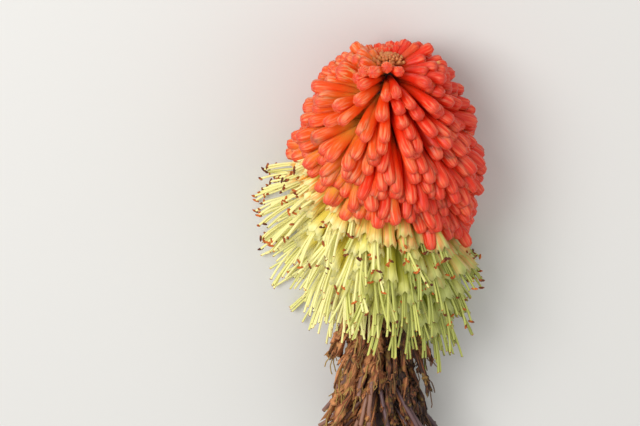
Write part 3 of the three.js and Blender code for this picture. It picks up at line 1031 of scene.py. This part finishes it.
def stamen(floret, k, looks):
    """The path of stamen k of an open floret, with the size of its anther."""
    i = floret.number
    aside = STAMENS_APART * (k - (STAMENS - 1) / 2 + draw(i, 20 + k))
    own = floret.spread(STAMEN_LEAN * draw(i, 30 + k), aside)
    end = inside(own, floret.end() + stamen_reach(floret, k))
    full = draw(i, 40 + k) > mix(*SPENT_BELOW, rise(looks[0], 0, ALL_SPENT_BY))
    return floret_path(own, floret.end() - STAMEN_ROOT, end, STAMEN_RADIUS,
                       (*looks[:2], draw(i, 110 + k)), steps=6, lowest=ANTHER_HEIGHT,
                       anther=1.0 if full else SPENT_SIZE)


def open_florets(bud_ends):
    """Open tubes with their stamens; a tube whose mouth would meet the end of a bud is left out."""
    florets = spiral(RED_END - HIGHEST_RISE, OPEN_END, OPEN_FLORETS, OPEN_CROWDING, OPEN_STRAY)
    florets = [floret for floret in florets if floret.down > red_end(floret.angle)]
    florets += [replanted(nearest(florets, *gap), *gap) for gap in FILLED_GAPS]
    tubes, stamens = [], []
    for floret in florets:
        looks = (zone_share(floret.down), painted_sunlight(floret), draw(floret.number, 9))
        size = vary(TUBE_RADIUS, TUBE_UNEVENNESS, floret.number, 8)
        tube = floret_path(floret, floret.root(), floret.end(TUBE_SHARE), size, looks, steps=10)
        if all((tube["points"][-1] - end).length >= CLEAR_OF_BUDS * MM for end in bud_ends):
            tubes.append(tube)
            stamens += [stamen(floret, k, looks) for k in range(STAMENS)]
    bend("open_tubes", "open_florets", tubes, mouth_shape("tube_shape"), tube_finish(),
         Crumple=0.15, Crumple_Scale=250.0)
    stamen_pieces(stamens)


def stamen_pieces(stamens):
    pale = thread_finish("pale_filaments", "a4aa50", "d8d870", "f9f2a6")
    grow("filaments", "open_florets", stamens, threads, {"Sides": 5, "Finish": pale})
    for path in stamens:
        path["looks"] = (path["points"][-1] - path["points"][-2]).normalized()
    rings = [(radius * MM, along * MM, 0.0, 0.0) for radius, along in ANTHER_PROFILE]
    shape = turned_shape("anther_shape", rings, sides=6)
    shape.data.transform(Matrix.Rotation(math.radians(ANTHER_TILT), 4, "Y"))
    grow("anther_heads", "open_florets", stamens, anthers, {"Shape": shape, "Finish": anther_finish()})
    bpy.data.objects.remove(shape)


def torn_petal(floret, k, tube_end, looks):
    """The path of petal k of a withered floret, torn from its tube somewhere along it."""
    i = floret.number
    lean = mix(*SHRED_LEANS, rise(floret.down, OPEN_END, OPEN_END + SHRED_LEAN_BY))
    own = floret.spread(lean * draw(i, 90 + k), SHRED_SWEEP * draw(i, 95 + k))
    start = mix(SHRED_TOP, tube_end - SHRED_LENGTH, 0.5 + 0.5 * draw(i, 100 + k))
    start = max(start, stalk_radius(floret.down))
    radius = vary(SHRED_RADIUS, SHRED_UNEVENNESS, i, 105 + k)
    shred = floret_path(own, start, start + SHRED_LENGTH, radius, looks, steps=5)
    return hung(shred, floret.point(start, radius))


def dry_filament(floret, k, tube_end, looks):
    i = floret.number
    own = floret.spread(DRY_LEAN * draw(i, 50 + k), DRY_SWEEP * draw(i, 60 + k))
    start, end = tube_end - DRY_ROOT, tube_end + DRY_REACH + DRY_REACH_SPREAD * draw(i, 70 + k)
    hair = floret_path(own, start, end, DRY_RADIUS, looks, steps=8)
    return hung(hair, floret.point(start, DRY_RADIUS))


def dry_straw(floret, tube_end, looks):
    own = floret.spread(-STRAW_LIFT, STRAW_SWEEP * draw(floret.number, 81))
    end = tube_end + STRAW_REACH
    return floret_path(own, stalk_radius(floret.down), end, STRAW_RADIUS, looks, steps=9)


def withered_florets():
    tubes, shreds, hairs, straws = [], [], [], []
    for floret in spiral(OPEN_END, LAST_WITHERED_ROOT, WITHERED_FLORETS, 1.0, WITHERED_STRAY):
        i = floret.number
        size = vary(WITHERED_RADIUS, WITHERED_UNEVENNESS, i, 5)
        looks = (zone_share(floret.down), painted_sunlight(floret), draw(i, 9))
        end = floret.end(WITHERED_SHARE + WITHERED_SHARE_SPREAD * draw(i, 6))
        tubes.append(floret_path(floret, floret.root(WITHERED_ROOT_SHARE), end, size, looks, steps=10))
        shreds += [torn_petal(floret, k, end, looks) for k in range(TORN_PETALS)]
        hairs += [dry_filament(floret, k, end, looks) for k in range(DRY_FILAMENTS)]
        if draw(i, 80) > mix(*STRAW_DRAWS, rise(floret.down, *STRAWS_GROW)):
            straws.append(dry_straw(floret, end, looks))
    dry = dry_finish("withered_petals", "301a10", "8c4e2c", "d08c58")
    for name, paths, sides in (("withered_tubes", tubes, 10), ("torn_petals", shreds, 8)):
        bend(name, "withered_florets", paths, withered_shape(name + "_shape", sides), dry,
             Crumple=1.7, Crumple_Scale=420.0, Twist=4.0, Wander=0.005, Wander_Scale=160.0)
    tan = thread_finish("dry_filaments", "5a3c20", "8a6430", "b09048")
    mauve = thread_finish("dry_straws", "4a3638", "6e5050", "9a6e58")
    for name, paths, sides, wander, finish in (("dry_filaments", hairs, 4, 0.006, tan),
                                               ("dry_straws", straws, 7, 0.003, mauve)):
        grow(name, "withered_florets", paths, threads, {
            "Sides": sides, "Wander": wander, "Wander Scale": 220.0, "Lowest": 0.001, "Finish": finish})


def stalk_piece(name, node, finish, top, bottom, steps, slope=0.0):
    """A stretch of stalk with faint ribs, closed at both ends. A ring is a place down the stalk, its
    share of the radius, and whether it lies on the cut."""
    rings = [(top, MIDDLE_SHARE, 0.0), (top, EDGE_SHARE, 0.0)]
    rings += [(mix(top, bottom, k / steps), 1.0, 0.0) for k in range(steps + 1)]
    rings += [(bottom, EDGE_SHARE, 1.0), (bottom, 0.5, 1.0), (bottom, MIDDLE_SHARE, 1.0)]
    points, cuts = [], []
    for down, share, cut in rings:
        for k in range(STALK_SIDES):
            angle = 2 * math.pi * k / STALK_SIDES
            out = share * stalk_radius(down) * (1 - RIB_DEPTH * (k % 2))
            tilted = down - slope * out * math.sin(angle) * rise(down, bottom - CUT_RUN, bottom)
            point = place(out, angle, tilted)
            point.z = max(0.0, point.z)
            points.append(in_frame(point))
            cuts.append(cut)
    piece = new_piece(name, points, faces=ring_faces(len(points), STALK_SIDES, upwards=False))
    carry(piece.data, "cut", "FLOAT", cuts)
    piece.data.materials.append(finish)
    piece.data.polygons.foreach_set("use_smooth", [True] * len(piece.data.polygons))
    belongs(piece, node)


def stalks():
    stalk_piece("bare_stalk", "stalk", stalk_finish(), WITHERED_END + JOINT_GAP, STALK_LENGTH,
                steps=60, slope=CUT_SLOPE)
    # The stalk inside the head is painted dark, as shade
    inner_shade = inner_shade_finish()
    stalk_piece("stalk_in_red_zone", "red_buds", inner_shade, STALK_TOP, RED_END, steps=16)
    stalk_piece("stalk_in_open_zone", "open_florets", inner_shade, RED_END, OPEN_END, steps=10)
    stalk_piece("stalk_in_withered_zone", "withered_florets", inner_shade, OPEN_END, WITHERED_END, steps=20)


def floor_and_light():
    half = 3.0
    corners = [(-half, -half, 0), (half, -half, 0), (half, half, 0), (-half, half, 0)]
    floor = new_piece("floor", corners, faces=[(0, 1, 2, 3)])
    floor.data.materials.append(Finish("pale_floor", 0.9, Base_Color=paint("d9d8d5")).material)
    for name, spot, energy, size in (("key", (-0.55, 0.55, 0.9), 9.0, 0.6),
                                     ("fill", (0.8, -0.1, 0.8), 1.5, 0.9)):
        light = bpy.data.lights.new(name, "AREA")
        light.energy = energy
        light.size = size
        lamp = bpy.data.objects.new(name, light)
        lamp.location = spot
        lamp.rotation_euler = Vector(spot).to_track_quat("Z", "Y").to_euler()
        bpy.context.scene.collection.objects.link(lamp)
    world = bpy.data.worlds.new("studio")
    world.use_nodes = True
    sky = world.node_tree.nodes["Background"].inputs
    sky["Color"].default_value = (0.9, 0.89, 0.87, 1.0)
    sky["Strength"].default_value = 0.7
    bpy.context.scene.world = world
    bpy.context.scene.view_settings.view_transform = "Standard"


def camera():
    """Above the tip's side of the flower, as in the photograph. The tip is this many of its pixels to
    the right of the middle and above it. A pixel and the distance are in metres, the sensor in mm."""
    width, tip_right, tip_up = 640, 68, 155
    pixel, distance, sensor = 0.00036, 1.2, 36.0
    elevation = math.radians(28)
    along = Vector((0, math.cos(SLOPE), math.sin(SLOPE)))
    square = Vector((0, -math.sin(SLOPE), math.cos(SLOPE)))
    towards = square * math.cos(elevation) + along * math.sin(elevation)
    up = along * math.cos(elevation) - square * math.sin(elevation)
    right = up.cross(towards)
    tip = Vector((TIP_X, TIP_Y, TIP_HEIGHT)) * MM
    target = tip - right * tip_right * pixel - up * tip_up * pixel
    data = bpy.data.cameras.new("camera")
    data.sensor_width = sensor
    data.lens = sensor * distance / (width * pixel)
    eye = bpy.data.objects.new("camera", data)
    turn = Matrix((right, up, towards)).transposed().to_4x4()
    turn.translation = target + towards * distance
    eye.matrix_world = turn
    bpy.context.scene.collection.objects.link(eye)
    bpy.context.scene.camera = eye


camera()
floor_and_light()
bending, threads, anthers = bending_tree(), thread_tree(), anther_tree()
tip_buds()
open_florets(red_buds())
withered_florets()
stalks()
